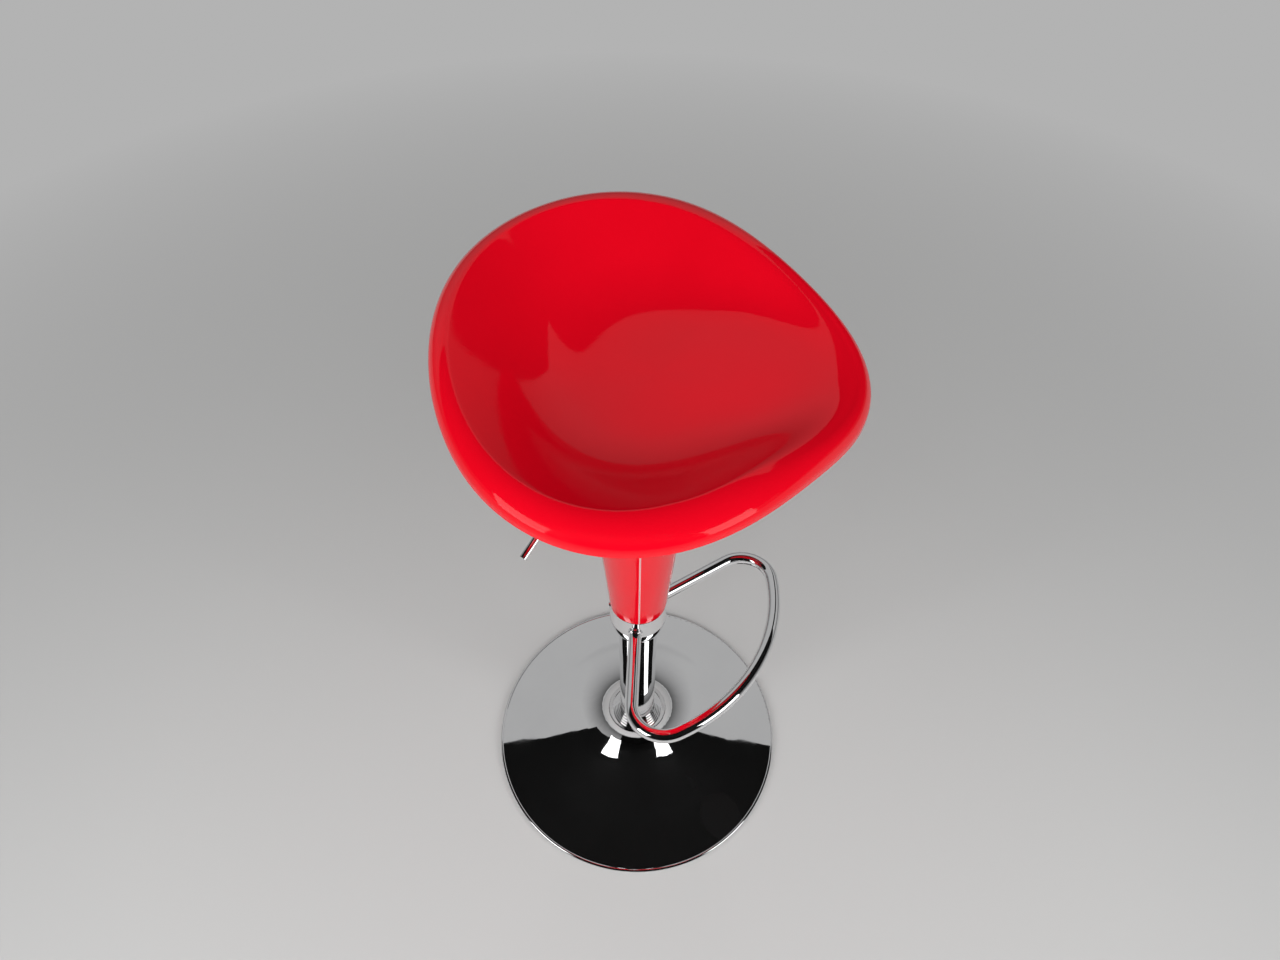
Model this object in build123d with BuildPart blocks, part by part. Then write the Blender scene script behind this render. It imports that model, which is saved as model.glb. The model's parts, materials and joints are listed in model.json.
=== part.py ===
"""Swivel bar stool: red scooped seat and stem, chrome column, tube footrest and trumpet base.

Millimetres. The origin is the centre of the base on the floor, +Z is up and the seat faces -Y.
The seat stands at the top of its travel.
"""

import os
from math import atan2, cos, hypot, pi, radians, sin, tan

from build123d import *

os.makedirs("parts", exist_ok=True)

# Base
base_radius = 205.0
bead_radius = 3.0
floor_ring_height = 3.8
base_plate_thickness = 2.0
dish_height = 86.0
dish_neck_radius = 35.0
dish_wall = 1.6
ring_height = 18.0

# Column and gas spring
column_radius = 24.0
column_wall = 1.6
cylinder_radius = 14.0
cylinder_wall = 3.0
rod_radius = 5.0
ball_radius = 2.0
running_fit = 0.05

# Stem and collar
collar_top = 389.4
collar_height = 56.4
collar_radius = 33.5
collar_wall = 2.0
flange_height = 1.2
stem_wall = 3.2
stem_bottom_radius = 33.7
stem_taper = 17.5
stem_flare = 8.2

# Footrest loop
foot_tube_radius = 7.5
foot_tube_wall = 1.5
foot_reach = 157.4
foot_corner_reach = 82.6
foot_corner_half = 154.0
foot_corner_radius = 37.0
foot_turn = 32.8
foot_rise = 6.0
foot_drop = 23.4
foot_spread = 66.0

# Seat
seat_radius = 190.2
seat_ahead = 14.2
seat_floor = 764.0
front_rise = 7.1
back_rise = 67.0
rim_roll = 15.0
seat_wall = 3.5
skirt_depth = 19.0
seam_gap = 0.3
seam_inset = 2.0
rim_hump = 10.7
front_dip = 6.6
bowl_power = 6.0
pan_tilt = 30.0

# Lever and seat fixing
lever_radius = 3.5
lever_angle = 143.9
lever_pivot = 30.0
lever_bend = 140.0
lever_tip = 169.5
lever_slope = 20.2
lever_lift = 4.0
plate_thickness = 3.0
plate_gap = 51.0
plate_length = 150.0
plate_depth = 120.0
screw_radius = 2.4

# Heights that follow from the sizes above
rim_front = seat_floor + front_rise
rim_back = seat_floor + back_rise
collar_bottom = collar_top - collar_height
column_top = collar_top + 0.72 * collar_height
foot_height = collar_top - foot_drop
plate_bottom = seat_floor - plate_gap - plate_thickness
plate_top = seat_floor - plate_gap
lever_height = plate_bottom - 9.0
head_top = plate_bottom - 19.0
head_bottom = head_top - 45.0
stem_bottom = collar_top + flange_height
stem_length = 0.672 * (seat_floor - stem_bottom)
plate_floor = floor_ring_height + base_plate_thickness
column_inner = column_radius - column_wall
cylinder_inner = cylinder_radius - cylinder_wall
race_bottom = plate_floor + 19.2
race_top = race_bottom + 2.5
ball_centre = race_top + ball_radius
upper_race_bottom = ball_centre + ball_radius
shoulder = upper_race_bottom + 2.5
cylinder_bottom = column_top - 80.0
foot_direction = -90.0 - foot_turn
skirt_low = rim_front - 2 * skirt_depth

# Steps of the seat and stem sections
turns = [2 * pi * i / 24 for i in range(24)]
stem_steps = [i / 8 for i in range(9)]
bowl_reaches = [i / 10 for i in range(1, 11)]
flare_steps = ((0.10, 0.22), (0.28, 0.42), (0.50, 0.58), (0.72, 0.72), (0.90, 0.86), (1.0, 1.0))


def outline_radius(turn):
    """Radius of the seat's plan outline about its middle, with turn 0 at the front."""
    egg = -0.057 * cos(turn) - 0.054 * cos(2 * turn) + 0.055 * cos(3 * turn) + 0.017 * cos(4 * turn)
    return seat_radius * (1 + egg)


def rim_height(turn):
    """Height of the rim: level over the back half, falling to the front lip."""
    side = (rim_front + rim_back) / 2 + rim_hump
    swing = (rim_back - rim_front) / 2
    dip = front_dip * (cos(3 * turn) - cos(turn))
    return side - swing * cos(turn) - rim_hump * (cos(2 * turn) + 1) / 2 - dip


def bowl_height(reach, turn):
    """Height of the sitting surface at a share of the way from the middle to the crest."""
    power = bowl_power + 1.8 * cos(turn) + 0.9 * cos(2 * turn)
    rise = reach**power * (1 + power * (1 - reach))
    tilt = pan_tilt * cos(turn) * reach * (1 - reach**2)
    return seat_floor + tilt + (rim_height(turn) - seat_floor) * rise


def bowl_section(turn):
    """Section of the space above the seat, from the middle up to the crest and out past the rim."""
    edge = outline_radius(turn)
    crest = rim_height(turn)
    section = [((edge - rim_roll) * reach, bowl_height(reach, turn)) for reach in bowl_reaches]
    middle = section[0][0]
    section[0] = (middle, seat_floor + middle * pan_tilt / (seat_radius - rim_roll) * cos(turn))
    section.append((edge + 1, crest + 1))
    for share in (0, 0.25, 0.5, 0.75, 1):
        section.append((edge + 15 + 16 * share, crest + 6 + (rim_back + 54 - crest) * share))
    return section


def bowl_height_over(x, y):
    """Height of the sitting surface over a point of the plan."""
    turn = atan2(x, -y - seat_ahead)
    return bowl_height(hypot(x, -y - seat_ahead) / (outline_radius(turn) - rim_roll), turn)


def outline_points(drawn_in):
    """Points round the seat's plan outline, drawn in by a distance."""
    return [
        ((outline_radius(t) - drawn_in) * sin(t), -seat_ahead - (outline_radius(t) - drawn_in) * cos(t))
        for t in turns
    ]


def under_section(turn):
    """Section of the stem and under shell, from the collar up to the seam and past it."""
    edge = outline_radius(turn) - seam_inset
    seam = rim_height(turn) - skirt_depth
    section = []
    for step in stem_steps:
        reach = stem_bottom_radius + stem_taper * step + stem_flare * step**4
        section.append((reach, stem_bottom + stem_length * step))
    low_reach, low_rise = section[-1]
    for out, up in flare_steps:
        section.append((low_reach + out * (edge - low_reach), low_rise + up * (seam - low_rise)))
    section.append((edge + 0.5, seam + 14))
    section.append((edge + 0.5, (seam + 14 + rim_back + 20) / 2))
    section.append((edge + 0.5, rim_back + 20))
    return section


def inset(section, wall, hand):
    """A section moved square to itself by the wall, to the right (1) or left (-1) of its run."""
    moved = []
    for i, (reach, height) in enumerate(section):
        before = section[max(i - 1, 0)]
        after = section[min(i + 1, len(section) - 1)]
        run, climb = after[0] - before[0], after[1] - before[1]
        length = hypot(run, climb)
        moved.append((reach + hand * wall * climb / length, height - hand * wall * run / length))
    return moved


def skin(sections, middles):
    """Solid through closed rings, one ring for each step of the sections round the outline."""
    rings = []
    for k, ahead in enumerate(middles):
        points = [
            (section[k][0] * sin(turn), -ahead - section[k][0] * cos(turn), section[k][1])
            for turn, section in zip(turns, sections)
        ]
        rings.append(Wire([Edge.make_spline(points, periodic=True)]))
    return Solid.make_loft(rings)


def finish(builder, name):
    """Label a finished piece and write it out."""
    builder.part.label = name
    export_step(builder.part, f"parts/{name}.step")


# Base: trumpet dish with a beaded edge
dish_outer = [
    (dish_neck_radius, dish_height),
    (dish_neck_radius + 0.08 * base_radius, 0.72 * dish_height),
    (dish_neck_radius + 0.22 * base_radius, 0.50 * dish_height),
    (dish_neck_radius + 0.46 * base_radius, 0.29 * dish_height),
    (base_radius - bead_radius, 0.085 * dish_height),
]
dish_inner = [
    (dish_outer[0][0] - dish_wall, dish_outer[0][1]),
    (dish_outer[1][0] - 0.8 * dish_wall, dish_outer[1][1] - 0.8 * dish_wall),
    (dish_outer[2][0] - 0.4 * dish_wall, dish_outer[2][1] - dish_wall),
    (dish_outer[3][0] - 0.2 * dish_wall, dish_outer[3][1] - dish_wall),
    (dish_outer[4][0] - 0.2 * dish_wall, dish_outer[4][1] - dish_wall),
]
bead_height = floor_ring_height + base_plate_thickness / 2
with BuildPart() as base_dish:
    with BuildSketch(Plane.XZ):
        with BuildLine():
            top_curve = Spline(*dish_outer, tangents=[(0.3, -1), (1, -0.2)])
            low_curve = Spline(*dish_inner, tangents=[(0.3, -1), (1, -0.2)])
            Line(top_curve @ 0, low_curve @ 0)
            Line(top_curve @ 1, low_curve @ 1)
        make_face()
        with Locations((base_radius - bead_radius, bead_height)):
            Circle(bead_radius)
    revolve(axis=Axis.Z)
finish(base_dish, "base_dish")

# Base: steel plate that closes the dish, with an opening below the column
plate_radius = base_radius - 2 * bead_radius
with BuildPart() as base_plate:
    with BuildSketch(Plane.XY.offset(floor_ring_height)):
        Circle(plate_radius)
        Circle(0.6 * column_radius, mode=Mode.SUBTRACT)
    extrude(amount=base_plate_thickness)
finish(base_plate, "base_plate")

# Base: rubber ring on the floor
with BuildPart() as floor_ring:
    with BuildSketch():
        Circle(plate_radius - 2)
        Circle(plate_radius - 15, mode=Mode.SUBTRACT)
    extrude(amount=floor_ring_height)
    fillet(floor_ring.edges().group_by(Axis.Z)[0], 1.0)
finish(floor_ring, "floor_ring")

# Base: socket that holds the column, flanged against the dish's neck
hub_top = dish_height - 3.0
with BuildPart() as base_hub:
    with BuildSketch(Plane.XZ):
        with BuildLine():
            Polyline(
                (column_radius, plate_floor),
                (column_radius + 12, plate_floor),
                (column_radius + 12, plate_floor + 3),
                (column_radius + 4, plate_floor + 3),
                (column_radius + 4, hub_top - 3),
                (dish_neck_radius - dish_wall, hub_top - 3),
                (dish_neck_radius - dish_wall, hub_top),
                (column_radius, hub_top),
                close=True,
            )
        make_face()
    revolve(axis=Axis.Z)
finish(base_hub, "base_hub")

# Stepped ring over the dish's neck at the foot of the column
ring_step = (dish_neck_radius - 1.2 - column_radius - 1.4) / 4
ring_profile = [(column_radius, dish_height)]
for i in range(5):
    step_radius = dish_neck_radius - 1.2 - i * ring_step
    step_top = dish_height + (i + 1) * ring_height / 5
    ring_profile.append((step_radius, step_top - ring_height / 5))
    ring_profile.append((step_radius, step_top - 0.8))
    ring_profile.append((step_radius - 0.8, step_top))
ring_profile.append((column_radius, dish_height + ring_height))
with BuildPart() as column_ring:
    with BuildSketch(Plane.XZ):
        with BuildLine():
            Polyline(*ring_profile, close=True)
        make_face()
    revolve(axis=Axis.Z)
finish(column_ring, "column_ring")

# Outer column
with BuildPart() as column_tube:
    with BuildSketch(Plane.XY.offset(plate_floor + 8.2)):
        Circle(column_radius)
        Circle(column_inner, mode=Mode.SUBTRACT)
    extrude(amount=column_top - plate_floor - 8.2)
finish(column_tube, "column_tube")

# Disc in the foot of the column that carries the bearing
with BuildPart() as column_floor:
    with BuildSketch(Plane.XY.offset(race_bottom - 3)):
        Circle(column_inner)
        Circle(rod_radius - 0.7, mode=Mode.SUBTRACT)
    extrude(amount=3)
finish(column_floor, "column_floor")

# Guide bush in the mouth of the column
with BuildPart() as guide_bush:
    with BuildSketch(Plane.XY.offset(column_top - 60)):
        Circle(column_inner)
    extrude(amount=60)
    with BuildSketch(Plane.XY.offset(column_top)):
        Circle(column_radius - 0.4)
    extrude(amount=3)
    with BuildSketch(Plane.XY.offset(column_top - 60)):
        Circle(cylinder_radius + running_fit)
    extrude(amount=63, mode=Mode.SUBTRACT)
finish(guide_bush, "guide_bush")

# Thrust bearing: lower race, balls, cage and upper race
race_radius = rod_radius + 5.5
ball_circle = rod_radius + 2.8
with BuildPart() as lower_race:
    with BuildSketch(Plane.XY.offset(race_bottom)):
        Circle(race_radius)
        Circle(rod_radius + 0.2, mode=Mode.SUBTRACT)
    extrude(amount=race_top - race_bottom)
finish(lower_race, "lower_race")

with BuildPart() as bearing_balls:
    with Locations((0, 0, ball_centre)):
        with PolarLocations(ball_circle, 8):
            Sphere(ball_radius)
finish(bearing_balls, "bearing_balls")

with BuildPart() as bearing_cage:
    with BuildSketch(Plane.XY.offset(ball_centre - 0.7)):
        Circle(race_radius - 0.3)
        Circle(rod_radius + 0.4, mode=Mode.SUBTRACT)
        with PolarLocations(ball_circle, 8):
            Circle(ball_radius + 0.1, mode=Mode.SUBTRACT)
    extrude(amount=1.4)
finish(bearing_cage, "bearing_cage")

spigot_radius = rod_radius - 1
with BuildPart() as upper_race:
    with BuildSketch(Plane.XY.offset(upper_race_bottom)):
        Circle(race_radius)
        Circle(spigot_radius, mode=Mode.SUBTRACT)
    extrude(amount=shoulder - upper_race_bottom)
finish(upper_race, "upper_race")

# Piston rod: foot with a clip groove, shoulder on the bearing, spigot for the piston
washer_top = race_bottom - 3.1
clip_top = washer_top - 1.4
clip_bottom = clip_top - 1.6
piston_bottom = cylinder_bottom + 14
piston_top = piston_bottom + 16
with BuildPart() as piston_rod:
    with BuildSketch(Plane.XZ):
        with BuildLine():
            Polyline(
                (0, clip_bottom - 3.9),
                (spigot_radius - 0.6, clip_bottom - 3.9),
                (spigot_radius, clip_bottom - 3.3),
                (spigot_radius, clip_bottom),
                (spigot_radius - 0.8, clip_bottom),
                (spigot_radius - 0.8, clip_top),
                (spigot_radius, clip_top),
                (spigot_radius, shoulder),
                (rod_radius, shoulder),
                (rod_radius, piston_bottom),
                (rod_radius - 1.5, piston_bottom),
                (rod_radius - 1.5, piston_top),
                (0, piston_top),
                close=True,
            )
        make_face()
    revolve(axis=Axis.Z)
finish(piston_rod, "piston_rod")

with BuildPart() as rod_washer:
    with BuildSketch(Plane.XY.offset(clip_top)):
        Circle(rod_radius + 4.5)
        Circle(spigot_radius, mode=Mode.SUBTRACT)
    extrude(amount=washer_top - clip_top)
finish(rod_washer, "rod_washer")

with BuildPart() as rod_clip:
    with BuildSketch(Plane.XY.offset(clip_bottom)):
        Circle(rod_radius + 2.5)
        Circle(spigot_radius - 0.8, mode=Mode.SUBTRACT)
        with Locations((rod_radius + 1, 0)):
            Rectangle(2 * rod_radius, spigot_radius, mode=Mode.SUBTRACT)
    extrude(amount=clip_top - clip_bottom)
finish(rod_clip, "rod_clip")

with BuildPart() as piston:
    with BuildSketch(Plane.XY.offset(piston_bottom)):
        Circle(cylinder_inner - running_fit)
        Circle(rod_radius - 1.5, mode=Mode.SUBTRACT)
    extrude(amount=piston_top - piston_bottom)
finish(piston, "piston")

# Gas cylinder with its rolled lower end, rod guide and tapered head
head_plug = 12.0
with BuildPart() as gas_cylinder:
    with BuildSketch(Plane.XZ):
        with BuildLine():
            Polyline(
                (rod_radius + 1.5, cylinder_bottom),
                (cylinder_radius - 1, cylinder_bottom),
                (cylinder_radius, cylinder_bottom + 1),
                (cylinder_radius, head_bottom),
                (cylinder_inner, head_bottom),
                (cylinder_inner, cylinder_bottom + 1.5),
                (rod_radius + 1.5, cylinder_bottom + 1.5),
                close=True,
            )
        make_face()
    revolve(axis=Axis.Z)
finish(gas_cylinder, "gas_cylinder")

with BuildPart() as rod_guide:
    with BuildSketch(Plane.XY.offset(cylinder_bottom + 1.5)):
        Circle(cylinder_inner)
        Circle(rod_radius + running_fit, mode=Mode.SUBTRACT)
    extrude(amount=10.5)
finish(rod_guide, "rod_guide")

pin_radius = 3.0
head_radius = cylinder_radius - 0.8
pin_top = lever_height - lever_radius - 0.4
with BuildPart() as cylinder_head:
    with BuildSketch(Plane.XZ):
        with BuildLine():
            Polyline(
                (0, head_bottom - head_plug),
                (cylinder_inner, head_bottom - head_plug),
                (cylinder_inner, head_bottom),
                (cylinder_radius, head_bottom),
                (head_radius, head_top),
                (pin_radius + running_fit, head_top),
                (pin_radius + running_fit, head_top - 22),
                (0, head_top - 22),
                close=True,
            )
        make_face()
    revolve(axis=Axis.Z)
finish(cylinder_head, "cylinder_head")

with BuildPart() as valve_pin:
    with BuildSketch(Plane.XY.offset(head_top - 18)):
        Circle(pin_radius)
    extrude(amount=pin_top - head_top + 18)
    fillet(valve_pin.edges().group_by(Axis.Z)[-1], 0.8 * pin_radius)
finish(valve_pin, "valve_pin")

# Lever: a rod in an upright plane through the axis, bent down towards its end
lever_way = (cos(radians(lever_angle)), sin(radians(lever_angle)), 0)
lever_side = (lever_way[1], -lever_way[0], 0)
lever_plane = Plane(origin=(0, 0, lever_height), x_dir=lever_way, z_dir=lever_side)
lever_drop = (lever_tip - lever_bend) * tan(radians(lever_slope))
with BuildPart() as lever_rod:
    with BuildLine(lever_plane) as lever_line:
        FilletPolyline((-1, 0), (lever_bend, 0), (lever_tip, -lever_drop), radius=25)
    with BuildSketch(Plane(origin=lever_line.line @ 0, z_dir=lever_line.line % 0)):
        Circle(lever_radius)
    sweep()
    with BuildSketch(lever_plane):
        with Locations((lever_pivot, 0)):
            Circle(2.0)
    extrude(amount=2 * lever_radius, both=True, mode=Mode.SUBTRACT)
finish(lever_rod, "lever_rod")

# Seat fixing: socket on the tapered head, slotted for the lever
with BuildPart() as taper_socket:
    with BuildSketch(Plane.XZ):
        with BuildLine():
            Polyline(
                (cylinder_radius - 0.8 * 3 / 45, head_bottom + 3),
                (cylinder_radius + 5, head_bottom + 3),
                (cylinder_radius + 5, plate_bottom),
                (head_radius, plate_bottom),
                (head_radius, head_top),
                close=True,
            )
        make_face()
    revolve(axis=Axis.Z)
    with BuildSketch(lever_plane.offset(-lever_radius - 1)):
        with Locations((cylinder_radius + 2, 0)):
            Rectangle(20, 2 * lever_radius + 6)
    extrude(amount=2 * lever_radius + 2, mode=Mode.SUBTRACT)
finish(taper_socket, "taper_socket")

screw_spots = [(sx * 0.32 * plate_length, sy * 0.42 * plate_depth) for sx in (-1, 1) for sy in (-1, 1)]
with BuildPart() as seat_plate:
    with BuildSketch(Plane.XY.offset(plate_bottom)):
        RectangleRounded(plate_length, plate_depth, 15)
        with Locations(*screw_spots):
            Circle(screw_radius, mode=Mode.SUBTRACT)
    extrude(amount=plate_thickness)
finish(seat_plate, "seat_plate")

with BuildPart() as plate_screws:
    with BuildSketch(Plane.XY.offset(plate_bottom)):
        with Locations(*screw_spots):
            Circle(2 * screw_radius)
    extrude(amount=-3.2)
    fillet(plate_screws.edges().group_by(Axis.Z)[0], 1.2)
    with BuildSketch(Plane.XY.offset(plate_bottom)):
        with Locations(*screw_spots):
            Circle(screw_radius)
    extrude(amount=plate_thickness + 8)
finish(plate_screws, "plate_screws")

# Lever pivot: a channel below the seat plate and its pin
bracket_top = plate_bottom - lever_height
ear_inner = lever_radius + 0.5
ear_outer = ear_inner + 2.5
pin_spot = (lever_pivot, 0)
with BuildPart() as lever_bracket:
    with BuildSketch(lever_plane.offset(-ear_outer)):
        with Locations((lever_pivot, (bracket_top - 6.5) / 2)):
            Rectangle(11, bracket_top + 6.5)
    extrude(amount=2 * ear_outer)
    with BuildSketch(lever_plane.offset(-ear_inner)):
        with Locations((lever_pivot, (bracket_top - 9.5) / 2)):
            Rectangle(12, bracket_top + 6.5)
    extrude(amount=2 * ear_inner, mode=Mode.SUBTRACT)
    with BuildSketch(lever_plane):
        with Locations(pin_spot):
            Circle(2.0 - running_fit)
    extrude(amount=2 * ear_outer, both=True, mode=Mode.SUBTRACT)
finish(lever_bracket, "lever_bracket")

with BuildPart() as lever_pin:
    with BuildSketch(lever_plane):
        with Locations(pin_spot):
            Circle(2.0 - running_fit)
    extrude(amount=ear_outer, both=True)
    for side in (-1, 1):
        with BuildSketch(lever_plane.offset(side * ear_outer)):
            with Locations(pin_spot):
                Circle(3.2)
        extrude(amount=side * 1.5)
finish(lever_pin, "lever_pin")

# Seat: scooped shell with a rolled rim and a skirt that ends at the seam
block_height = rim_back + 20 - skirt_low
bowl_sections = [bowl_section(turn) for turn in turns]
core_sections = [inset(section, seat_wall, 1) for section in bowl_sections]
for above, below in zip(bowl_sections, core_sections):
    below[0] = (above[0][0], above[0][1] - seat_wall)
    below[-1] = (below[-1][0], rim_back + 60)
bowl_middles = [seat_ahead] * len(bowl_sections[0])
bowl_space = skin(bowl_sections, bowl_middles)
core_space = skin(core_sections, bowl_middles)

# Side view of the seam between the seat and the under shell, with the space below it
seam_line = [
    (-seat_ahead - outline_radius(turn) * cos(turn), rim_height(turn) - skirt_depth)
    for turn in turns[:13]
]
seam_front, seam_back = seam_line[0], seam_line[-1]
with BuildSketch(Plane.YZ) as below_seam:
    with BuildLine():
        Spline(*seam_line)
        Polyline(
            seam_back,
            (seam_back[0] + 40, seam_back[1]),
            (seam_back[0] + 40, skirt_low - 60),
            (seam_front[0] - 40, skirt_low - 60),
            (seam_front[0] - 40, seam_front[1]),
            seam_front,
        )
    make_face()

with BuildPart() as seat_core:
    with BuildSketch(Plane.XY.offset(skirt_low - 5)):
        with BuildLine():
            Spline(*outline_points(seat_wall), periodic=True)
        make_face()
    extrude(amount=block_height)
    add(core_space, mode=Mode.SUBTRACT)
    fillet(seat_core.edges().sort_by(Axis.Z)[-1], rim_roll - seat_wall)

with BuildPart() as skirt_waste:
    with BuildSketch(Plane.XY.offset(skirt_low - 5)):
        with BuildLine():
            Spline(*outline_points(-5), periodic=True)
        make_face()
        with BuildLine():
            Spline(*outline_points(3 * seat_wall), periodic=True)
        make_face(mode=Mode.SUBTRACT)
    extrude(amount=block_height)
    extrude(below_seam.sketch, amount=1.5 * seat_radius, both=True, mode=Mode.INTERSECT)

with BuildPart() as seat_top:
    with BuildSketch(Plane.XY.offset(skirt_low)):
        with BuildLine():
            Spline(*outline_points(0), periodic=True)
        make_face()
    extrude(amount=block_height)
    add(bowl_space, mode=Mode.SUBTRACT)
    fillet(seat_top.edges().sort_by(Axis.Z)[-1], rim_roll)
    add(seat_core.part, mode=Mode.SUBTRACT)
    add(skirt_waste.part, mode=Mode.SUBTRACT)
    for x, y in screw_spots:
        with BuildSketch(Plane.XY.offset(plate_top)):
            with Locations((x, y)):
                Circle(7)
        extrude(amount=bowl_height_over(x, y) - seat_wall / 2 - plate_top)
    with BuildSketch(Plane.XY.offset(plate_top)):
        with Locations(*screw_spots):
            Circle(screw_radius)
    extrude(amount=8, mode=Mode.SUBTRACT)
finish(seat_top, "seat_top")

# Under shell and stem, parted into a front and a rear half
under_sections = [under_section(turn) for turn in turns]
hollow_sections = [inset(section, stem_wall, -1) for section in under_sections]
for section in hollow_sections:
    section[0] = (section[0][0], stem_bottom - 5)
    section[-1] = (section[-1][0], rim_back + 25)
under_middles = [0] * len(stem_steps)
under_middles += [out * seat_ahead for out, up in flare_steps]
under_middles += [seat_ahead] * 3
under_block = skin(under_sections, under_middles)
under_hollow = skin(hollow_sections, under_middles)
slot_height = 2 * lever_radius + 2.5 + 1.1 * lever_bend * sin(radians(lever_lift))
with BuildPart() as under_shell:
    add(under_block)
    add(under_hollow, mode=Mode.SUBTRACT)
    with BuildSketch(lever_plane.offset(-lever_radius - 2)):
        with Locations((0.78 * lever_bend, slot_height / 2 - lever_radius - 2)):
            Rectangle(0.6 * lever_bend, slot_height)
    extrude(amount=2 * lever_radius + 4, mode=Mode.SUBTRACT)

with BuildPart() as above_seam:
    with BuildSketch(Plane.XY.offset(stem_bottom - 10)):
        Rectangle(3 * seat_radius, 3 * seat_radius)
    extrude(amount=rim_back - stem_bottom + 40)
    extrude(below_seam.sketch, amount=2 * seat_radius, both=True, mode=Mode.SUBTRACT)
    with BuildSketch(Plane.XY.offset(stem_bottom - 10)):
        Rectangle(3 * seat_radius, 3 * seat_radius)
    extrude(amount=skirt_low - 50 - stem_bottom, mode=Mode.SUBTRACT)

with BuildPart() as under_front:
    add(under_shell.part)
    add(above_seam.part, mode=Mode.SUBTRACT)
    split(bisect_by=Plane.XZ.offset(seam_gap / 2), keep=Keep.TOP)
finish(under_front, "under_front")

with BuildPart() as under_rear:
    add(under_shell.part)
    add(above_seam.part, mode=Mode.SUBTRACT)
    split(bisect_by=Plane.XZ.offset(-seam_gap / 2), keep=Keep.BOTTOM)
finish(under_rear, "under_rear")

# Collar: chrome cup, with a plain form of it for trimming the tube
cup_shoulder = collar_top - 9
with BuildPart() as cup_form:
    with BuildSketch(Plane.XZ):
        with BuildLine():
            cup_curve = Spline(
                (collar_radius, cup_shoulder),
                (column_radius + 1.4, collar_bottom),
                tangents=[(0, -1), (-1, -0.7)],
            )
            Polyline(
                cup_curve @ 1,
                (0, collar_bottom),
                (0, collar_top),
                (collar_radius, collar_top),
                cup_curve @ 0,
            )
        make_face()
    revolve(axis=Axis.Z)

screw_turns = (35.0, 95.0)
screw_planes = [
    Plane(
        origin=(collar_radius * cos(radians(a)), collar_radius * sin(radians(a)), collar_top - 5),
        z_dir=(cos(radians(a)), sin(radians(a)), 0),
    )
    for a in screw_turns
]
with BuildPart() as collar_cup:
    add(cup_form.part)
    with BuildSketch(Plane.XZ):
        with BuildLine():
            inner_curve = Spline(
                (collar_radius - collar_wall, cup_shoulder),
                (column_radius + 0.6, collar_bottom + 1.2 * collar_wall),
                tangents=[(0, -1), (-1, -0.7)],
            )
            Polyline(
                inner_curve @ 1,
                (column_radius + 0.6, collar_bottom - 1),
                (0, collar_bottom - 1),
                (0, collar_top + 1),
                (collar_radius - collar_wall, collar_top + 1),
                inner_curve @ 0,
            )
        make_face()
    revolve(axis=Axis.Z, mode=Mode.SUBTRACT)
    for plane in screw_planes:
        with BuildSketch(plane):
            Circle(1.6)
        extrude(amount=-8, mode=Mode.SUBTRACT)
finish(collar_cup, "collar_cup")

# Collar: nylon bush with the thin flange seen between cup and stem
with BuildPart() as collar_bush:
    with BuildSketch(Plane.XZ):
        with BuildLine():
            Polyline(
                (column_radius + running_fit, collar_bottom + 24),
                (column_radius + 2.8, collar_bottom + 24),
                (column_radius + 2.8, cup_shoulder),
                (collar_radius - collar_wall, cup_shoulder),
                (collar_radius - collar_wall, collar_top),
                (collar_radius - 0.5, collar_top),
                (collar_radius - 0.5, stem_bottom),
                (stem_bottom_radius - stem_wall - 0.3, stem_bottom),
                (stem_bottom_radius - stem_wall - 0.3, column_top - 6),
                (column_radius + running_fit, column_top - 6),
                close=True,
            )
        make_face()
    revolve(axis=Axis.Z)
    for plane in screw_planes:
        with BuildSketch(plane):
            Circle(1.6)
        extrude(amount=-6, mode=Mode.SUBTRACT)
finish(collar_bush, "collar_bush")

with BuildPart() as collar_screws:
    for plane in screw_planes:
        with BuildSketch(plane):
            Circle(1.6)
        extrude(amount=-6)
        with BuildSketch(plane):
            Circle(3.2)
        extrude(amount=1.4)
finish(collar_screws, "collar_screws")

# Footrest: tube loop in a plane that rises slightly outwards
foot_cos, foot_sin = cos(radians(foot_direction)), sin(radians(foot_direction))
rise_cos, rise_sin = cos(radians(foot_rise)), sin(radians(foot_rise))
foot_plane = Plane(
    origin=(0, 0, foot_height),
    x_dir=(foot_cos * rise_cos, foot_sin * rise_cos, rise_sin),
    z_dir=(-rise_sin * foot_cos, -rise_sin * foot_sin, rise_cos),
)
foot_depth = 0.78 * collar_radius
foot_start = (foot_depth * cos(radians(foot_spread)), foot_depth * sin(radians(foot_spread)))
foot_corner = (foot_corner_reach, foot_corner_half)
with BuildLine(foot_plane) as foot_line:
    Line((foot_start[0], -foot_start[1]), (foot_corner_reach, -foot_corner_half))
    ThreePointArc((foot_corner_reach, -foot_corner_half), (foot_reach, 0), foot_corner)
    Line(foot_corner, foot_start)
    fillet(foot_line.vertices().sort_by(foot_plane.location.y_axis)[0], foot_corner_radius)
    fillet(foot_line.vertices().sort_by(foot_plane.location.y_axis)[-1], foot_corner_radius)
foot_path = foot_line.wire()
foot_ends = [
    Plane(origin=foot_path @ 0, z_dir=foot_path % 0),
    Plane(origin=foot_path @ 1, z_dir=-(foot_path % 1)),
]
with BuildPart() as foot_space:
    with BuildSketch(foot_ends[0]):
        Circle(foot_tube_radius + running_fit)
    sweep(path=foot_path)

with BuildPart() as footrest_loop:
    with BuildSketch(foot_ends[0]):
        Circle(foot_tube_radius)
        Circle(foot_tube_radius - foot_tube_wall, mode=Mode.SUBTRACT)
    sweep(path=foot_path)
    add(cup_form.part, mode=Mode.SUBTRACT)
finish(footrest_loop, "footrest_loop")

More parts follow.
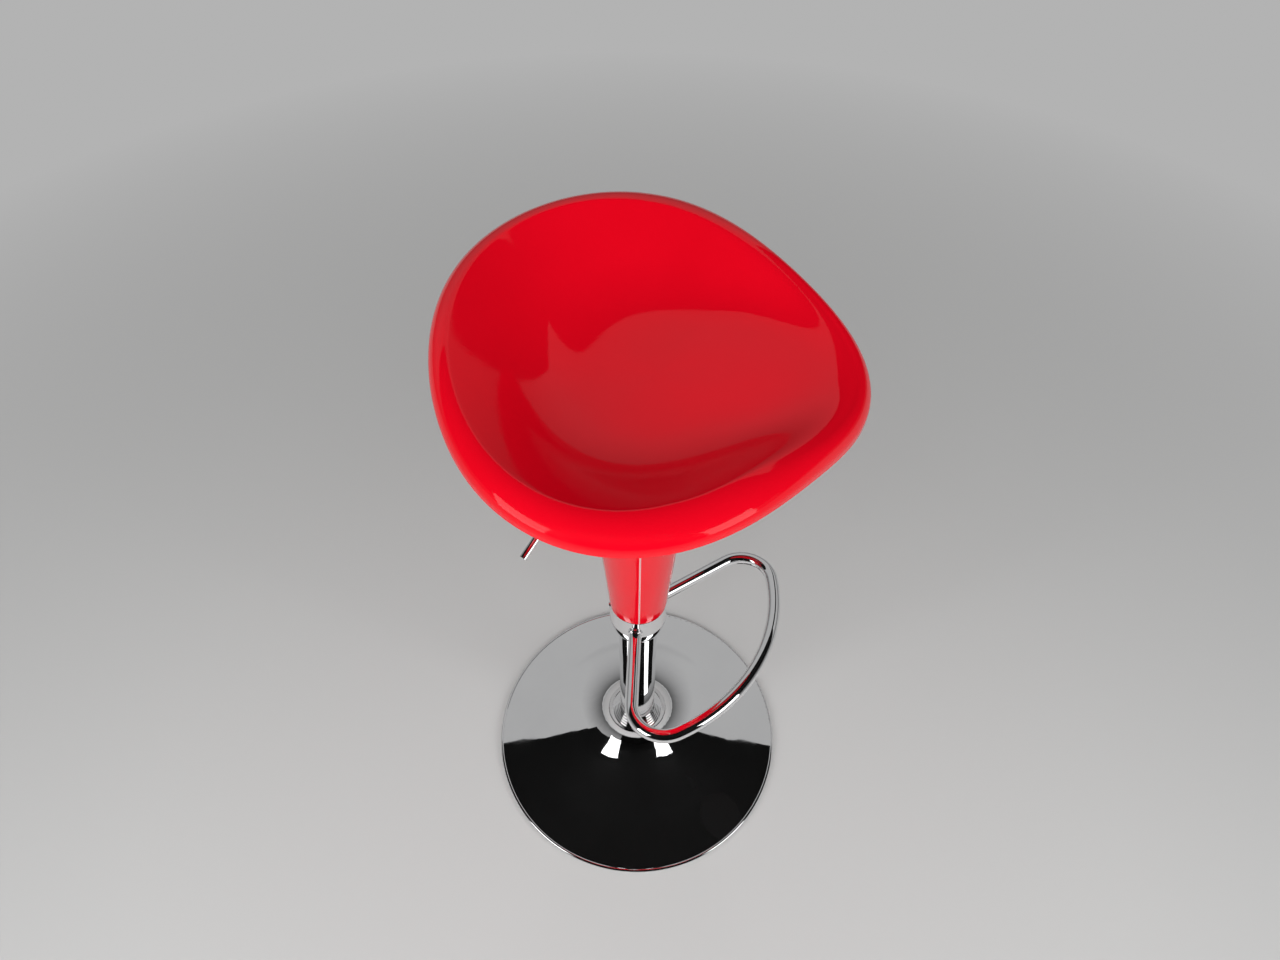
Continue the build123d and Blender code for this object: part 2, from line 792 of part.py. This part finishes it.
# Weld beads round the two ends of the loop
weld_step = 0.26 * collar_radius
with BuildPart() as footrest_welds:
    with Locations(*[plane.offset(weld_step) for plane in foot_ends]):
        Torus(foot_tube_radius + 0.3, 2.0)
    add(foot_space.part, mode=Mode.SUBTRACT)
    add(cup_form.part, mode=Mode.SUBTRACT)
finish(footrest_welds, "footrest_welds")
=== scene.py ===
"""Looks of the bar stool: glossy red seat and stem, chrome base, column, collar and footrest."""

import json
import math

import bmesh
import bpy
from mathutils import Euler, Matrix, Vector


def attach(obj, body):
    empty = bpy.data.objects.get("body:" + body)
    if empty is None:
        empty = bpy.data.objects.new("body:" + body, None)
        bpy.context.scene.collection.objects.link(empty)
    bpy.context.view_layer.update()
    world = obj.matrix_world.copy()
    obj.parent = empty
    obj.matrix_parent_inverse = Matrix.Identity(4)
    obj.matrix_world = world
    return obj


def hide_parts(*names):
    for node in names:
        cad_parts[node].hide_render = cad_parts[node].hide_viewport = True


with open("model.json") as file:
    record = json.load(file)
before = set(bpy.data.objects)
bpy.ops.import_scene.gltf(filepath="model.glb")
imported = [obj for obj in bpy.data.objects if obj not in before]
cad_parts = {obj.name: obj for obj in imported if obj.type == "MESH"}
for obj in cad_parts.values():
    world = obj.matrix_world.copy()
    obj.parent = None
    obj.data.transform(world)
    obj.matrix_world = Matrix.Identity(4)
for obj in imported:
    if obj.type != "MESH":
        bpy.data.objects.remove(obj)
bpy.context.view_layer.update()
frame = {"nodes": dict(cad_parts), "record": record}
nodes = frame["nodes"]
scene = bpy.context.scene

# Camera: angles in degrees, place in metres from the foot of the column, lens and sensor in millimetres
HEADING = -92.07
PITCH = 51.814
YAW = 0.061
ROLL = 0.603
BACK = 0.5454
HEIGHT = 1.3107
NEAREST = 0.01
LENS = 25.3125
SENSOR = 36
heading = Matrix.Rotation(math.radians(HEADING), 4, "Z")


def add_camera():
    pitch, yaw, roll = (math.radians(angle) for angle in (PITCH, YAW, ROLL))
    level = math.cos(pitch)
    ahead = Vector((math.sin(yaw) * level, math.cos(yaw) * level, -math.sin(pitch)))
    right = Vector((math.cos(yaw), -math.sin(yaw), 0))
    up = right.cross(ahead)
    right, up = (
        math.cos(roll) * right + math.sin(roll) * up,
        math.cos(roll) * up - math.sin(roll) * right,
    )
    place = Matrix((right, up, -ahead)).transposed().to_4x4()
    place.translation = (0, -BACK, HEIGHT)
    data = bpy.data.cameras.new("camera")
    data.lens = LENS
    data.sensor_width = SENSOR
    data.clip_start = NEAREST
    camera = bpy.data.objects.new("camera", data)
    camera.matrix_world = heading @ place
    scene.collection.objects.link(camera)
    scene.camera = camera


# Materials: each colour drifts between two ends
RED = (0.74, 0.0015, 0.011), (0.82, 0.002, 0.014)
CHROME = (0.80, 0.80, 0.81), (0.88, 0.88, 0.885)
STEEL = (0.48, 0.48, 0.49), (0.62, 0.62, 0.63)
BLACK_PAINT = (0.018, 0.018, 0.019), (0.03, 0.03, 0.031)
NYLON = (0.012, 0.012, 0.013), (0.022, 0.022, 0.024)
RUBBER = (0.012, 0.012, 0.012), (0.024, 0.024, 0.023)
PLASTIC_IOR = 1.36

# Painted highlight on the stem's joint: its colour, and how far from the joint in metres it is full and has
# ended
SEAM_HIGHLIGHT_RED = (0.86, 0.52, 0.52)
SEAM_HIGHLIGHT_ENDS = (0.0005, 0.0011)

# Dull finishes: size of a cloud of colour against the grain, and depth of the grain
CLOUD_TO_GRAIN = 6
GRAIN_BUMP = {"strength": 0.08, "distance": 0.0006}

# Floor and cards
STAGE_ROUGHNESS = 0.9
STAGE_SPECULAR = 0.1


def material(name, metallic=0.0, ior=1.5):
    made = bpy.data.materials.new(name)
    made.use_nodes = True
    tree = made.node_tree
    shader = tree.nodes["Principled BSDF"]
    shader.inputs["Metallic"].default_value = metallic
    shader.inputs["IOR"].default_value = ior
    return made, tree, shader


def node(tree, kind, links=(), **values):
    """A node with values for its inputs or settings, and with links into its inputs."""
    made = tree.nodes.new(kind)
    for key, value in values.items():
        if key in made.inputs:
            made.inputs[key].default_value = value
        else:
            setattr(made, key, value)
    for key, source in links:
        tree.links.new(source, made.inputs[key])
    return made


def object_place(tree):
    return tree.nodes.new("ShaderNodeTexCoord").outputs["Object"]


def noise(tree, place, scale, detail=4.0, rough=0.55):
    made = node(
        tree, "ShaderNodeTexNoise", [("Vector", place)], Scale=scale, Detail=detail, Roughness=rough
    )
    return made.outputs["Fac"]


def spread(tree, source, ends, onto):
    """Maps what lies between two ends onto another range."""
    made = node(tree, "ShaderNodeMapRange", [("Value", source)])
    for key, value in zip(("From Min", "From Max", "To Min", "To Max"), (*ends, *onto)):
        made.inputs[key].default_value = value
    return made.outputs["Result"]


def tint(tree, share, first, second):
    """A colour between two, each of them fixed or from another node."""
    made = node(tree, "ShaderNodeMix", [("Factor", share)], data_type="RGBA")
    sockets = [socket for socket in made.inputs if socket.type == "RGBA"]
    for socket, colour in zip(sockets, (first, second)):
        if isinstance(colour, tuple):
            socket.default_value = (*colour, 1)
        else:
            tree.links.new(colour, socket)
    return next(socket for socket in made.outputs if socket.type == "RGBA")


def combine(tree, how, *sources):
    made = node(tree, "ShaderNodeMath", operation=how)
    for socket, source in zip(made.inputs, sources):
        tree.links.new(source, socket)
    return made.outputs[0]


def bump(tree, shader, height, strength, distance):
    made = node(tree, "ShaderNodeBump", [("Height", height)], Strength=strength, Distance=distance)
    tree.links.new(made.outputs["Normal"], shader.inputs["Normal"])


def red_plastic(name, painted_seam_highlight=False):
    """Glossy red, with a pale painted highlight along the joint of the two halves where asked for."""
    made, tree, shader = material(name, ior=PLASTIC_IOR)
    place = object_place(tree)
    colour = tint(tree, noise(tree, place, scale=9.0, detail=3.0), *RED)
    if painted_seam_highlight:
        # Painted highlight: a pale line in the base colour along the joint stands in for light caught on
        # the seam's ridge
        across = node(tree, "ShaderNodeSeparateXYZ", [("Vector", place)]).outputs["Y"]
        highlight_share = spread(tree, combine(tree, "ABSOLUTE", across), SEAM_HIGHLIGHT_ENDS, onto=(1.0, 0.0))
        colour = tint(tree, highlight_share, colour, SEAM_HIGHLIGHT_RED)
    tree.links.new(colour, shader.inputs["Base Color"])
    smears = noise(tree, place, scale=28.0, detail=6.0, rough=0.6)
    smears = spread(tree, smears, (0.35, 0.75), onto=(0.035, 0.11))
    flecks = noise(tree, place, scale=900.0, detail=2.0)
    flecks = spread(tree, flecks, (0.72, 0.80), onto=(0.0, 0.2))
    tree.links.new(combine(tree, "ADD", smears, flecks), shader.inputs["Roughness"])
    ripple = noise(tree, place, scale=260.0, detail=2.0)
    bump(tree, shader, ripple, strength=0.012, distance=0.002)
    return made


def chrome():
    """Mirror-bright plating with faint smears and flecks of dust."""
    made, tree, shader = material("chrome", metallic=1.0)
    place = object_place(tree)
    colour = tint(tree, noise(tree, place, scale=14.0, detail=5.0), *CHROME)
    tree.links.new(colour, shader.inputs["Base Color"])
    smears = noise(tree, place, scale=40.0, detail=6.0, rough=0.65)
    smears = spread(tree, smears, (0.4, 0.8), onto=(0.02, 0.085))
    flecks = noise(tree, place, scale=1100.0, detail=2.0)
    flecks = spread(tree, flecks, (0.70, 0.78), onto=(0.0, 0.16))
    tree.links.new(combine(tree, "ADD", smears, flecks), shader.inputs["Roughness"])
    ripple = noise(tree, place, scale=60.0, detail=2.0)
    bump(tree, shader, ripple, strength=0.006, distance=0.002)
    return made


def plain(name, colours, roughness, grain, metallic=0.0):
    """A dull finish with clouds of colour and a fine grain."""
    made, tree, shader = material(name, metallic)
    place = object_place(tree)
    cloud = noise(tree, place, scale=grain / CLOUD_TO_GRAIN)
    tree.links.new(tint(tree, cloud, *colours), shader.inputs["Base Color"])
    fine = noise(tree, place, scale=grain, detail=5.0)
    tree.links.new(spread(tree, fine, (0.3, 0.7), onto=roughness), shader.inputs["Roughness"])
    bump(tree, shader, fine, **GRAIN_BUMP)
    return made


def stage_material(name, colour):
    made, _, shader = material(name)
    shader.inputs["Base Color"].default_value = (*colour, 1)
    shader.inputs["Roughness"].default_value = STAGE_ROUGHNESS
    shader.inputs["Specular IOR Level"].default_value = STAGE_SPECULAR
    return made


finishes = {
    "red_plastic": red_plastic("red_plastic"),
    "chrome": chrome(),
    "steel": plain("steel", STEEL, roughness=(0.22, 0.42), grain=400.0, metallic=1.0),
    "black_paint": plain("black_paint", BLACK_PAINT, roughness=(0.32, 0.5), grain=600.0),
    "nylon": plain("nylon", NYLON, roughness=(0.4, 0.6), grain=500.0),
    "rubber": plain("rubber", RUBBER, roughness=(0.7, 0.9), grain=350.0),
}
for entry in frame["record"]["subparts"]:
    mesh = nodes[entry["node"]].data
    mesh.materials.clear()
    mesh.materials.append(finishes[entry["material_slot"]])
# The stem's two halves get the red with the painted highlight along their joint
highlighted_plastic = red_plastic("red_plastic_painted_seam_highlight", painted_seam_highlight=True)
for half in ("under_front", "under_rear"):
    nodes[half].data.materials[0] = highlighted_plastic


# Seat shell in millimetres: outline, rim and bowl, with waves counted round from the front
MM_PER_M = 1000
SEAT_RADIUS = 190.2
OUTLINE_WAVES = (-0.057, -0.054, 0.055, 0.017)
SEAT_AHEAD = 14.2
SEAT_FLOOR = 764.0
SEAT_WALL = 3.5
RIM_FRONT = 771.1
RIM_BACK = 831.0
RIM_HUMP = 10.7
FRONT_DIP = 6.6
RIM_ROLL = 15.0
SKIRT_DEPTH = 19.0
BOWL_POWER = 6.0
POWER_WAVES = (1.8, 0.9)
PAN_TILT = 30.0

# Ridge inside the rim: its place, form and height, and where it comes in on the way from front to back
RIDGE_IN = 27.0
RIDGE_CLOSE = 12.0
RIDGE_DROP = 16.5
RIDGE_ROUND = 5.0
RIDGE_LIFT = 1.0
RIDGE_FROM = 0.1
RIDGE_OVER = 0.3

# Straight wall up to the ridge: its foot as a share of the bowl, the bend there and the search for its lean
WALL_FOOT = 0.38
WALL_BEND = 60.0
SLOPE_STEP = 0.01
FIRST_LEAN = math.radians(30)
LEAN_ROUNDS = 6

# Screw bosses below the seat
BOSS_ACROSS = 48.0
BOSS_ALONG = 50.4
BOSS_RADIUS = 7.0
PLATE_TOP = 713.0
SCREW_RADIUS = 2.4
SCREW_DEPTH = 8.0

# Steps of the seat's mesh, and the angle from which an edge is sharp
TURNS = 160
BOWL_STEPS = 50
ROLL_STEPS = 16
RIDGE_STEPS = 6
DROP_STEPS = 80
BOSS_TURNS = 24
SHARP_ANGLE = math.radians(40)


def waves(sizes, turn):
    return sum(size * math.cos(i * turn) for i, size in enumerate(sizes, 1))


def outline_radius(turn):
    return SEAT_RADIUS * (1 + waves(OUTLINE_WAVES, turn))


def rim_height(turn):
    side = (RIM_FRONT + RIM_BACK) / 2 + RIM_HUMP
    dip = FRONT_DIP * (math.cos(3 * turn) - math.cos(turn))
    hump = RIM_HUMP * (math.cos(2 * turn) + 1) / 2
    return side - (RIM_BACK - RIM_FRONT) / 2 * math.cos(turn) - hump - dip


def bowl_height(reach, turn):
    power = BOWL_POWER + waves(POWER_WAVES, turn)
    rise = reach**power * (1 + power * (1 - reach))
    tilt = PAN_TILT * math.cos(turn) * reach * (1 - reach**2)
    return SEAT_FLOOR + tilt + (rim_height(turn) - SEAT_FLOOR) * rise


def round_edge(crest, top, width, drop, angle):
    """A point on a rounded edge, at an angle from its highest point."""
    return crest + width * math.sin(angle), top - drop * (1 - math.cos(angle))


def rolled_section(turn):
    """Bowl with a plain round edge: the points of its section, and the height of the edge."""
    crest = outline_radius(turn) - RIM_ROLL
    drops = [RIM_ROLL * i / DROP_STEPS for i in range(DROP_STEPS - 1)]
    seats = [bowl_height(1 - d / crest, turn) - math.sqrt(RIM_ROLL**2 - d**2) for d in drops]
    centre = min(seats)
    drop = drops[seats.index(centre)]
    top = centre + RIM_ROLL
    steps = [(crest - drop) * (i + 1) / BOWL_STEPS for i in range(BOWL_STEPS)]
    section = [(reach, bowl_height(reach / crest, turn)) for reach in steps]
    start = -math.asin(drop / RIM_ROLL)
    for i in range(1, ROLL_STEPS + 1):
        angle = start + (math.pi / 2 - start) * i / ROLL_STEPS
        section.append(round_edge(crest, top, RIM_ROLL, RIM_ROLL, angle))
    return section, top


def ridged_section(turn, top):
    """Bowl with a straight wall up to a narrow ridge and a broad edge outside it."""
    edge = outline_radius(turn)
    lip = RIDGE_IN - RIDGE_CLOSE * max(-math.cos(turn), 0)
    crest, ridge = edge - RIM_ROLL, edge - lip
    foot = WALL_FOOT * crest
    low = bowl_height(WALL_FOOT, turn)
    start = (bowl_height(WALL_FOOT + SLOPE_STEP, turn) - low) / (SLOPE_STEP * crest)
    lean = FIRST_LEAN
    for _ in range(LEAN_ROUNDS):
        end, high = round_edge(ridge, top, -RIDGE_ROUND, RIDGE_ROUND, lean)
        slope = (high - low - start * WALL_BEND / 2) / (end - foot - WALL_BEND / 2)
        lean = math.atan(slope)
    section = []
    wall_steps = BOWL_STEPS - RIDGE_STEPS
    for i in range(1, wall_steps + 1):
        reach = end * i / wall_steps
        past = reach - foot
        if past > 0:
            bend = min(past, WALL_BEND)
            climb = start * bend + (slope - start) * bend**2 / (2 * WALL_BEND)
            climb += slope * max(past - WALL_BEND, 0)
            section.append((reach, low + climb))
        else:
            section.append((reach, bowl_height(reach / crest, turn)))
    for i in range(1, RIDGE_STEPS + 1):
        angle = lean * (1 - i / RIDGE_STEPS)
        section.append(round_edge(ridge, top, -RIDGE_ROUND, RIDGE_ROUND, angle))
    for i in range(1, ROLL_STEPS + 1):
        angle = math.pi / 2 * i / ROLL_STEPS
        section.append(round_edge(ridge, top, lip, RIDGE_DROP, angle))
    return section


def seat_section(turn):
    """Sitting surface, rim and skirt: a plain edge in front, and the ridge at the sides and back."""
    plain_edge, top = rolled_section(turn)
    ridged_edge = ridged_section(turn, top + RIDGE_LIFT)
    share = min(max(((1 - math.cos(turn)) / 2 - RIDGE_FROM) / RIDGE_OVER, 0), 1)
    share = share * share * (3 - 2 * share)
    section = [
        (a + (c - a) * share, b + (d - b) * share)
        for (a, b), (c, d) in zip(plain_edge, ridged_edge)
    ]
    section.append((outline_radius(turn), rim_height(turn) - SKIRT_DEPTH))
    return section


def inside(section):
    """The section moved square to itself by the wall, and level with its end."""
    moved = []
    for i, (reach, height) in enumerate(section):
        before, after = section[max(i - 1, 0)], section[min(i + 1, len(section) - 1)]
        run, climb = after[0] - before[0], after[1] - before[1]
        length = math.hypot(run, climb)
        moved.append((reach + SEAT_WALL * climb / length, height - SEAT_WALL * run / length))
    moved[-1] = (moved[-1][0], section[-1][1])
    return moved


def close_rings(rings, first, last, points, faces):
    """Adds closed rings of points, joined to each other and to a point at each end."""
    base = len(points)
    count = len(rings[0])
    for ring in rings:
        points.extend(ring)
    points.extend((first, last))
    tip, tail = len(points) - 2, len(points) - 1
    for i in range(count):
        j = (i + 1) % count
        faces.append((tip, base + i, base + j))
        for k in range(len(rings) - 1):
            low, high = base + k * count, base + (k + 1) * count
            faces.append((low + i, high + i, high + j, low + j))
        low = base + (len(rings) - 1) * count
        faces.append((low + i, tail, low + j))


def add_shell(points, faces):
    """The shell from the middle of the bowl over the rim, and back below it to the middle."""
    turns = [2 * math.pi * i / TURNS for i in range(TURNS)]
    sections = [seat_section(turn) for turn in turns]
    sections = [section + inside(section)[::-1] for section in sections]
    rings = []
    for level in zip(*sections):
        rings.append([
            (reach * math.sin(turn), -SEAT_AHEAD - reach * math.cos(turn), height)
            for turn, (reach, height) in zip(turns, level)
        ])
    top = (0, -SEAT_AHEAD, SEAT_FLOOR)
    below = (0, -SEAT_AHEAD, SEAT_FLOOR - SEAT_WALL)
    close_rings(rings, top, below, points, faces)


def add_boss(x, y, points, faces):
    """A boss from the bowl down to the seat plate, with a screw's hole in its end."""
    turn = math.atan2(x, -y - SEAT_AHEAD)
    reach = math.hypot(x, y + SEAT_AHEAD) / (outline_radius(turn) - RIM_ROLL)
    boss_top = bowl_height(reach, turn) - SEAT_WALL / 2
    hole_top = PLATE_TOP + SCREW_DEPTH
    profile = [
        (BOSS_RADIUS, boss_top),
        (BOSS_RADIUS, PLATE_TOP),
        (SCREW_RADIUS, PLATE_TOP),
        (SCREW_RADIUS, hole_top),
    ]
    angles = [2 * math.pi * i / BOSS_TURNS for i in range(BOSS_TURNS)]
    rings = [
        [(x + radius * math.cos(angle), y + radius * math.sin(angle), z) for angle in angles]
        for radius, z in profile
    ]
    close_rings(rings, (x, y, boss_top), (x, y, hole_top), points, faces)


def add_seat():
    points, faces = [], []
    add_shell(points, faces)
    for x in (-BOSS_ACROSS, BOSS_ACROSS):
        for y in (-BOSS_ALONG, BOSS_ALONG):
            add_boss(x, y, points, faces)
    mesh = bpy.data.meshes.new("seat_shell")
    mesh.from_pydata([tuple(v / MM_PER_M for v in point) for point in points], [], faces)
    mesh.validate()
    solid = bmesh.new()
    solid.from_mesh(mesh)
    bmesh.ops.recalc_face_normals(solid, faces=solid.faces)
    solid.to_mesh(mesh)
    solid.free()
    mesh.shade_smooth()
    mesh.set_sharp_from_angle(angle=SHARP_ANGLE)
    mesh.materials.append(finishes["red_plastic"])
    made = bpy.data.objects.new("seat_shell", mesh)
    scene.collection.objects.link(made)
    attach(made, "seat")
    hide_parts("seat_top")


# Floor and light in metres, placed as seen from the camera: x to the right, y away from it
FLOOR_SIZE = (60, 60)
FLOOR_COLOUR = (0.62, 0.62, 0.615)
FLOOR_FADE = (0.7, 2.1)
CARD_COLOUR = (0.01, 0.01, 0.01)
BACKGROUND = 0.45
LIGHT_ALL_ROUND = 0.10

# Background in a reflection: darker low down, by the rise of the direction it lies in
SHADE_RISE = (0.02, 0.5)
SHADE_RANGE = (0.25, 1.0)

# Lamps at the sides: how far across each box is, and how many times as far the soft ones are
SIDES = (("left", -1.33), ("right", 1.44))
SOFT_FURTHER = 1.3


def stage_plane(name, size, place, colour, turn=(0, 0, 0)):
    bpy.ops.mesh.primitive_plane_add(size=1)
    made = bpy.context.object
    made.name = name
    made.data.transform(Matrix.Diagonal((*size, 1, 1)))
    turned = Euler([math.radians(angle) for angle in turn]).to_matrix().to_4x4()
    made.matrix_world = heading @ Matrix.Translation(place) @ turned
    made.data.materials.append(stage_material(name, colour))
    return made


def dark_card(name, size, place, turn=(0, 0, 0)):
    """A card that only shows in the glossy surfaces."""
    made = stage_plane(name, size, place, CARD_COLOUR, turn)
    made.visible_camera = False
    made.visible_diffuse = False
    made.visible_shadow = False


def grey(level):
    return level, level, level, 1


def seen_share(tree):
    """1 where a surface is seen straight, in a reflection or through glass, and 0 for its light."""
    path = tree.nodes.new("ShaderNodeLightPath").outputs
    shiny = combine(tree, "MAXIMUM", path["Is Glossy Ray"], path["Is Transmission Ray"])
    return combine(tree, "MAXIMUM", path["Is Camera Ray"], shiny)


def mix_shaders(tree, share, first, second, output):
    mixed = node(tree, "ShaderNodeMixShader", [("Fac", share), (1, first), (2, second)])
    tree.links.new(mixed.outputs["Shader"], tree.nodes[output].inputs["Surface"])


def fade_floor(made):
    """Lets the floor pass into the background well away from the stool."""
    tree = made.node_tree
    place = object_place(tree)
    away = node(tree, "ShaderNodeVectorMath", [("Vector", place)], operation="LENGTH")
    far = spread(tree, away.outputs["Value"], FLOOR_FADE, onto=(0.0, 1.0))
    share = combine(tree, "MULTIPLY", far, seen_share(tree))
    near_look = tree.nodes["Principled BSDF"].outputs["BSDF"]
    far_look = node(tree, "ShaderNodeEmission", Color=grey(BACKGROUND)).outputs["Emission"]
    mix_shaders(tree, share, near_look, far_look, "Material Output")


def add_world():
    """Soft light from all round, and a paler background where it is seen straight or in a reflection."""
    made = bpy.data.worlds.new("world")
    made.use_nodes = True
    tree = made.node_tree
    around = tree.nodes["Background"]
    around.inputs["Color"].default_value = grey(LIGHT_ALL_ROUND)
    direction = tree.nodes.new("ShaderNodeTexCoord").outputs["Generated"]
    rise = node(tree, "ShaderNodeSeparateXYZ", [("Vector", direction)]).outputs["Z"]
    straight = tree.nodes.new("ShaderNodeLightPath").outputs["Is Camera Ray"]
    shade = combine(tree, "MAXIMUM", straight, spread(tree, rise, SHADE_RISE, onto=SHADE_RANGE))
    seen = node(tree, "ShaderNodeBackground", [("Strength", shade)], Color=grey(BACKGROUND))
    light, view = around.outputs["Background"], seen.outputs["Background"]
    mix_shaders(tree, seen_share(tree), light, view, "World Output")
    scene.world = made


def lamp(name, place, aim, size, power, in_gloss=False):
    data = bpy.data.lights.new(name, "AREA")
    data.shape = "RECTANGLE"
    data.size, data.size_y = size
    data.energy = power
    made = bpy.data.objects.new(name, data)
    place, aim = heading @ Vector(place), heading @ Vector(aim)
    made.location = place
    made.rotation_euler = (aim - place).to_track_quat("-Z", "Y").to_euler()
    made.visible_glossy = in_gloss
    scene.collection.objects.link(made)


add_camera()
add_seat()
floor = stage_plane("floor", FLOOR_SIZE, (0, 0, 0), FLOOR_COLOUR)
fade_floor(floor.data.materials[0])
dark_card("ceiling", size=(8, 5), place=(0, -1.88, 1.6))
dark_card("room", size=(8, 1.6), place=(0, -4.38, 0.8), turn=(90, 0, 0))
dark_card("side", size=(0.55, 1.0), place=(0.5, 0.3, 1.09), turn=(0, 90, 0))
add_world()

for side, across in SIDES:
    soft_place = (SOFT_FURTHER * across, -1.7, 1.45)
    lamp("soft_" + side, soft_place, aim=(0, 0, 0.5), size=(1.8, 1.8), power=24)
    box_place = (across, -1.05, 1.05)
    lamp("box_" + side, box_place, aim=(0, 0, 0.2), size=(0.80, 0.95), power=6, in_gloss=True)
lamp("key", place=(0, -1.6, 2.15), aim=(0, 0, 0.8), size=(1.8, 1.2), power=27)
lamp("back", place=(0, 1.6, 2.2), aim=(0, 0, 0.8), size=(1.6, 0.8), power=7)
scene.view_settings.view_transform = "Standard"
